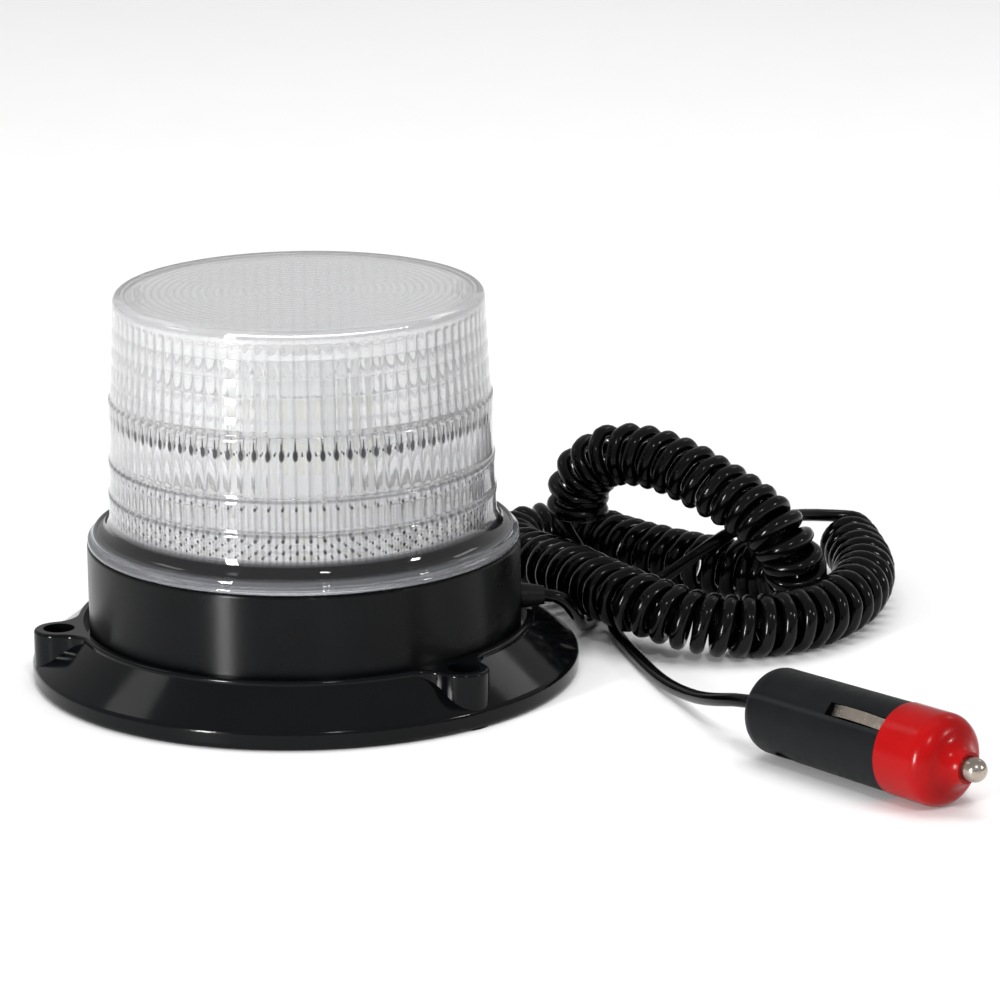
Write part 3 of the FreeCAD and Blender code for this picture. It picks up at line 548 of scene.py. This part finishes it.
LEAD = [
    (59.5, 0, 17.3), (62.6, 0, 17.3), (66, 3.5, 13.6), (68.6, 10.5, 8), (70, 18, 3.8),
    (71.5, 25.5, 1.8), (75, 34, 1.8), (80.5, 41.5, 1.9), (88, 45.5, 4.5), (95.5, 45.5, 9.5),
    (102, 44, 14.5), (108.5, 44.5, 19), (115.5, 49.5, 20.4), (122, 56.5, 19.8),
    (128.5, 64, 18.6), (135, 71, 16.6), (141, 75, 15),
]
COIL = [
    (144, 76, 8.3), (145.5, 61, 8.3), (145.5, 45, 8.3), (142, 28.5, 8.3), (135, 13.5, 8.3),
    (123, 1.5, 8.3), (108, -3, 8.3), (94, 0, 10), (83, 7.5, 12.7), (75.5, 19, 12.8),
    (69.5, 33, 12.5), (64.5, 48, 10.5), (59, 62, 8.6), (54, 75, 8.3), (58.5, 87, 8.3),
    (70, 90.5, 8.3), (79.5, 82.5, 8.3), (87, 70, 8.3), (98, 60.5, 8.3), (108, 52.2, 8.3),
    (121.8, 45.7, 8.3), (126.2, 37.5, 8.3), (126, 30.7, 11.7), (124.3, 27.5, 18.2),
    (120.8, 28, 23.9), (114.8, 32.4, 28.9), (106.4, 38.8, 33), (97.6, 45.8, 37),
    (88.4, 52.4, 39), (79.4, 58, 38), (73, 61.6, 31.8), (71.4, 62.8, 25.2), (72.2, 63.3, 19.6),
]
TAIL = [
    (72.2, 63.3, 19.6), (72.5, 62.5, 14.8), (73.8, 58.5, 9.7), (75.7, 52, 6.8),
    (77, 44.5, 6.3), (77.9, 36, 5.6), (78.1, 27, 3), (78.5, 17.5, 1.8), (80.2, 6, 1.8),
    (82.9, -6.5, 1.8), (85.5, -19, 1.8), (88.6, -31, 2.4), (92.2, -42.5, 3.8),
    (95.2, -53.5, 6.2), (98.8, -63.2, 9), (103.1, -69.94, 11.1), (107.6, -75.3, 11.1),
]
CABLE_RADIUS = 1.65
# the coiled cable is a little thicker, and its middle runs this far from the route
COIL_WIRE_SHARE = 1.2
COIL_WIND = 6.35
POINTS_A_TURN = 14
ROUTE_STEP = 0.25
# distance between turns (mm) at shares of the way along the coil
PITCHES = [
    (0.0, 6.8), (0.12, 6.4), (0.2, 4.8), (0.3, 4.7), (0.36, 6.4), (0.46, 7.0),
    (0.52, 5.2), (0.68, 5.0), (0.75, 4.2), (0.82, 4.2), (0.86, 5.0), (0.93, 5.0), (1.0, 4.2),
]


def spline_data(name, points, radius=0.0):
    """One open NURBS spline of order 3 through to both of its ends."""
    data = bpy.data.curves.new(name, "CURVE")
    data.dimensions = "3D"
    spline = data.splines.new("NURBS")
    spline.points.add(len(points) - 1)
    for point, (x, y, z) in zip(spline.points, points):
        point.co = (x, y, z, 1.0)
    spline.order_u = 3
    spline.use_endpoint_u = True
    data.bevel_depth = radius
    return data


def smooth_line(points):
    """The points along the route's own spline."""
    data = spline_data("route", points)
    data.resolution_u = 16
    holder = linked("route", data)
    bpy.context.view_layer.update()
    line = bpy.data.meshes.new_from_object(holder)
    spots = [vertex.co.copy() for vertex in line.vertices]
    bpy.data.objects.remove(holder)
    return spots


def evenly(spots, step):
    """The same line with its points a step apart."""
    result = [spots[0].copy()]
    left = step
    for start, end in zip(spots, spots[1:]):
        run = (end - start).length
        done = 0.0
        while run - done >= left:
            done += left
            result.append(start.lerp(end, done / run))
            left = step
        left -= run - done
    result.append(spots[-1].copy())
    return result


def between(knots, share):
    """The value at a share of the way through (share, value) knots."""
    for (start, low), (end, high) in zip(knots, knots[1:]):
        if share <= end:
            return low + (high - low) * max(0.0, (share - start) / (end - start))
    return knots[-1][1]


def winding(points):
    """Left-handed turns round the coil's route, closer where it lies on itself."""
    line = evenly(smooth_line(points), ROUTE_STEP)
    travel, up = 0.0, Vector((0, 0, 1))
    angle = 0.0
    next_angle = 0.0
    spots = []
    total = ROUTE_STEP * (len(line) - 1)
    for index, centre in enumerate(line):
        ahead = line[min(index + 1, len(line) - 1)]
        behind = line[max(index - 1, 0)]
        along = (ahead - behind).normalized()
        up = (up - along * up.dot(along)).normalized()
        side = along.cross(up)
        pitch = between(PITCHES, travel / total)
        if angle >= next_angle - 1e-9:
            high, wide = COIL_WIND * math.cos(angle), COIL_WIND * math.sin(angle)
            spots.append(centre + up * high - side * wide)
            next_angle += math.tau / POINTS_A_TURN
        angle += math.tau * ROUTE_STEP / pitch
        travel += ROUTE_STEP
    return spots


coil_turns = winding(COIL)
cord_points = [Vector(p) for p in LEAD[:-1]] + coil_turns + [Vector(p) for p in TAIL[2:]]
cord_data = spline_data("cord", [p * MM for p in cord_points], CABLE_RADIUS * MM)
for point in cord_data.splines[0].points[len(LEAD):len(LEAD) + len(coil_turns) - 2]:
    point.radius = COIL_WIRE_SHARE
cord_data.resolution_u = 2
cord_data.bevel_resolution = 5
cord_data.use_fill_caps = True
cord = linked("cord", cord_data)
finished(cord, "cord_black", "beacon")
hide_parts("cord_lead", "cord_coil", "cord_tail")


def line_length(spots):
    return sum((b - a).length for a, b in zip(spots, spots[1:]))


cord_length = line_length(smooth_line(cord_points)) * MM
print("cord length", round(cord_length, 4))


# ---------------------------------------------------------------- spring

# along the plug's axis, in mm
SPRING_START, SPRING_END = 18.45, 26.05
SPRING_RADIUS, SPRING_WIRE, SPRING_PITCH = 2.4, 0.4, 1.9


def spring_piece():
    """The coil spring behind the fuse."""
    points = []
    turns = (SPRING_END - SPRING_START) / SPRING_PITCH
    count = round(turns * 16)
    for step in range(count + 1):
        angle = math.tau * turns * step / count
        along = SPRING_START + (SPRING_END - SPRING_START) * step / count
        spot = Vector((along, SPRING_RADIUS * math.cos(angle), SPRING_RADIUS * math.sin(angle)))
        points.append(PLUG @ (spot * MM))
    data = spline_data("spring_wire", points, SPRING_WIRE * MM)
    data.resolution_u = 2
    data.bevel_resolution = 3
    data.use_fill_caps = True
    holder = linked("spring_wire", data)
    bpy.context.view_layer.update()
    wire = bpy.data.meshes.new_from_object(holder)
    bpy.data.objects.remove(holder)
    return linked("fuse_spring", wire)


spring = finished(spring_piece(), "steel_zinc", "beacon")
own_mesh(spring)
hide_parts("plug_spring")


# ---------------------------------------------------------------- lens


def lerp(a, b, t):
    return a + (b - a) * t


LENS_HEIGHT = 96.6
TOP_EDGE = 1.8
TOP_FLAT_RADIUS = 43.8
SCALLOP_PITCH, SCALLOP_DEPTH = 4.6, 0.22
FLUTE_DEPTH = 0.42
POINTS_A_FLUTE = 6
FOOT_RADIUS = 53.5
BEAD_RADIUS = 0.4
WALL_LOW, WALL_HIGH = 42.2, 93.2


def top_rows():
    """The flat top and its rounded edge."""
    flat = (0.0, 8.0, 16.0, 24.0, 32.0, 38.0, 42.0, TOP_FLAT_RADIUS)
    rows = [(radius, LENS_HEIGHT, 0.0) for radius in flat]
    for step in range(1, 7):
        bend = math.radians(15 * step)
        radius = TOP_FLAT_RADIUS + TOP_EDGE * math.sin(bend)
        rows.append((radius, LENS_HEIGHT - TOP_EDGE + TOP_EDGE * math.cos(bend), 0.0))
    return rows


def tier_rows():
    """The scalloped upper tier and the three tiers under the raised rings."""
    top, bottom = 92.6, 71.1
    rows = [(45.7, 92.9, 0.0)]
    steps = 56
    for step in range(steps + 1):
        z = lerp(top, bottom, step / steps)
        cone = lerp(45.72, 46.9, (top - z) / (top - bottom))
        place = ((z - bottom) / SCALLOP_PITCH) % 1.0
        rows.append((cone - SCALLOP_DEPTH * (2 * place - 1) ** 2, z, 0.0))
    tiers = [
        (47.35, RING_TOP, 47.3, RING_MIDDLE + 0.5),
        (47.75, RING_MIDDLE, 47.65, RING_LOW + 0.5),
        (48.05, RING_LOW, 47.95, 40.7),
    ]
    for high_r, high_z, low_r, low_z in tiers:
        rows.append((high_r - 0.22, high_z + 0.2, 0.0))
        count = max(5, round((high_z - low_z) / 1.1))
        for step in range(count + 1):
            share = step / count
            crown = 0.0 if share < 0.04 else -0.12 * (1 - (2 * share - 1) ** 2)
            rows.append((lerp(high_r, low_r, share) + crown, lerp(high_z, low_z, share), 0.0))
    return rows


def foot_rows():
    """The flared foot with a bead round it, its underside and its bore."""
    rows = []
    for step in range(1, 8):
        bend = math.radians(11.25 * step)
        rows.append((48.4 + 3.5 * (1 - math.cos(bend)), 40.2 - 3.4 * math.sin(bend), 0.0))
    for step in range(9):
        bend = math.radians(22.5 * step)
        across, above = BEAD_RADIUS * math.cos(bend), BEAD_RADIUS * math.sin(bend)
        rows.append((51.75 - across, 36.65 + above, 0.0))
    lip = [(52.2, 35.85), (53.2, 35.5), (FOOT_RADIUS, 35.2), (FOOT_RADIUS, 34.35), (53.35, 34.2)]
    bore = [(46.7, 34.2), (46.7, 38.4), (45.5, 41.8)]
    rows += [(radius, z, 0.0) for radius, z in lip + bore]
    return rows


def inner_rows():
    """The fluted inner wall with a prism behind each ring, and the ringed ceiling."""
    prisms = [
        (RING_TOP - 1.0, 1.3, 2.4),
        (RING_MIDDLE - 0.6, 0.9, 1.6),
        (RING_LOW - 0.6, 0.9, 1.6),
    ]
    rows = []
    steps = 110
    for step in range(steps + 1):
        z = lerp(WALL_LOW, WALL_HIGH, step / steps)
        wall = lerp(45.7, 43.7, (z - WALL_LOW) / (WALL_HIGH - WALL_LOW))
        for ridge, depth, spread in prisms:
            wall -= depth * max(0.0, 1 - abs(z - ridge) / spread)
        ease = min(1.0, z - WALL_LOW, WALL_HIGH - z)
        rows.append((wall, z, FLUTE_DEPTH * ease))
    for step in range(1, 5):
        bend = math.radians(22.5 * step)
        rows.append((42.3 + 1.4 * math.cos(bend), 93.6 + 1.4 * math.sin(bend), 0.0))
    rings = 80
    for step in range(rings):
        r = lerp(41.0, 1.0, step / (rings - 1))
        place = (r / 2.0) % 1.0
        rows.append((r, 95.0 - 0.02 * (1 - (2 * place - 1) ** 2), 0.0))
    rows.append((0.0, 95.0, 0.0))
    return rows


def lens_rows():
    """(radius, height, flute depth) down the outside and back up the inside, in mm."""
    return top_rows() + tier_rows() + foot_rows() + inner_rows()


def lens_piece():
    """The lens as one closed skin of those rows."""
    segments = FLUTES * POINTS_A_FLUTE
    points, faces, rings = [], [], []
    for radius, z, depth in lens_rows():
        if radius == 0.0:
            rings.append([len(points)])
            points.append(Vector((0, 0, z)) * MM)
            continue
        start = len(points)
        for index in range(segments):
            angle = math.tau * index / segments
            place = (index % POINTS_A_FLUTE) / POINTS_A_FLUTE
            inward = depth * (1 - (2 * place - 1) ** 2)
            r = radius - inward
            points.append(Vector((r * math.cos(angle), r * math.sin(angle), z)) * MM)
        rings.append(list(range(start, start + segments)))
    for above, below in zip(rings, rings[1:]):
        for index in range(segments):
            following = (index + 1) % segments
            if len(above) == 1:
                faces.append((above[0], below[index], below[following]))
            elif len(below) == 1:
                faces.append((above[index], below[0], above[following]))
            else:
                faces.append((above[index], below[index], below[following], above[following]))
    return mesh_piece("lens_cover_body", points, faces)


lens = finished(lens_piece(), "lens_clear", "lens_cover")
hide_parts("lens")
